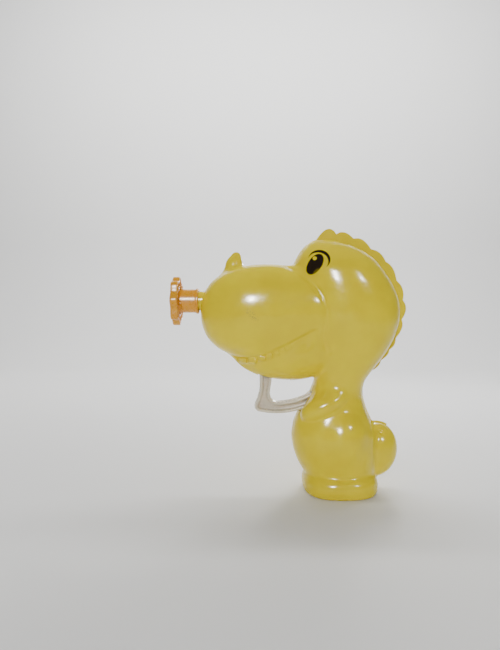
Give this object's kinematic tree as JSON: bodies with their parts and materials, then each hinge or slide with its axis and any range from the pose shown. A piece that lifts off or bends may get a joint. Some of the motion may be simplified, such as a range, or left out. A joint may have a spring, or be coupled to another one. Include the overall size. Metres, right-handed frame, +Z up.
{
  "type": "hand-powered bubble gun",
  "caption": "Toy bubble gun shaped as a cartoon dinosaur: a trigger drives a small fan through gears, and the air leaves by a nozzle and a flower-shaped ring.",
  "frame": {"origin": "middle of the flat sole that the toy stands on", "axes": "+Z up, +Y towards the right half shell, +X from the snout to the back of the head"},
  "size_m": [0.1221, 0.0448, 0.1366],
  "materials": {
    "body_plastic": "glossy lemon yellow moulding",
    "trigger_plastic": "milky translucent white moulding",
    "ring_plastic": "glossy orange moulding",
    "white_plastic": "satin natural white moulding",
    "grey_plastic": "satin grey moulding",
    "steel": "zinc plated steel"
  },
  "bodies": {
    "casing": {"left_shell": "body_plastic", "right_shell": "body_plastic", "nozzle": "body_plastic", "air_duct": "white_plastic", "trigger_pin": "steel", "trigger_spring": "steel", "drive_axle": "steel", "idler_axle": "steel", "blower_housing": "white_plastic", "blower_cover": "white_plastic", "gear_cover": "white_plastic", "body_screw_1": "steel", "body_screw_2": "steel", "body_screw_3": "steel", "body_screw_4": "steel", "body_screw_5": "steel", "body_screw_6": "steel", "gear_screw_1": "steel", "gear_screw_2": "steel", "gear_screw_3": "steel", "mount_screw_1": "steel", "mount_screw_2": "steel"},
    "trigger_arm": {"trigger": "trigger_plastic"},
    "clutch": {"clutch_pinion": "white_plastic"},
    "drive_wheel": {"drive_gear": "white_plastic", "clutch_pawl": "grey_plastic"},
    "idler_wheel": {"idler_gear": "white_plastic"},
    "fan_rotor": {"fan": "grey_plastic", "fan_shaft": "steel", "fan_pinion": "white_plastic"},
    "ring": {"bubble_ring": "ring_plastic"}
  },
  "joints": [
    {"name": "trigger_pull", "type": "hinge", "parent": "casing", "child": "trigger_arm", "pos_m": [-0.0333, 0, 0.0821], "axis": [0, -1, 0], "range_deg": [0, 22], "stiffness_Nm_per_rad": 0.3, "springref_deg": -11.46, "deforming": ["trigger_spring"]},
    {"name": "clutch_spin", "type": "hinge", "parent": "casing", "child": "clutch", "pos_m": [-0.01489, 0, 0.08991], "axis": [0, -1, 0], "range_deg": [-88.5, 0]},
    {"name": "drive_spin", "type": "hinge", "parent": "casing", "child": "drive_wheel", "pos_m": [-0.01489, 0, 0.08991], "axis": [0, -1, 0], "range_deg": [-88.5, 0]},
    {"name": "idler_spin", "type": "hinge", "parent": "casing", "child": "idler_wheel", "pos_m": [-0.00571, 0, 0.10302], "axis": [0, -1, 0], "range_deg": [0, 353]},
    {"name": "fan_spin", "type": "hinge", "parent": "casing", "child": "fan_rotor", "pos_m": [0.00932, 0, 0.09755], "axis": [0, -1, 0], "range_deg": [-1410, 0]},
    {"name": "ring_pull", "type": "slide", "parent": "casing", "child": "ring", "axis": [-1, 0, 0], "range_m": [0, 0.02]}
  ],
  "couplings": [
    {"joint": "clutch_spin", "follows": "trigger_pull", "ratio": -4},
    {"joint": "drive_spin", "follows": "trigger_pull", "ratio": -4},
    {"joint": "idler_spin", "follows": "trigger_pull", "ratio": 16},
    {"joint": "fan_spin", "follows": "trigger_pull", "ratio": -64}
  ]
}
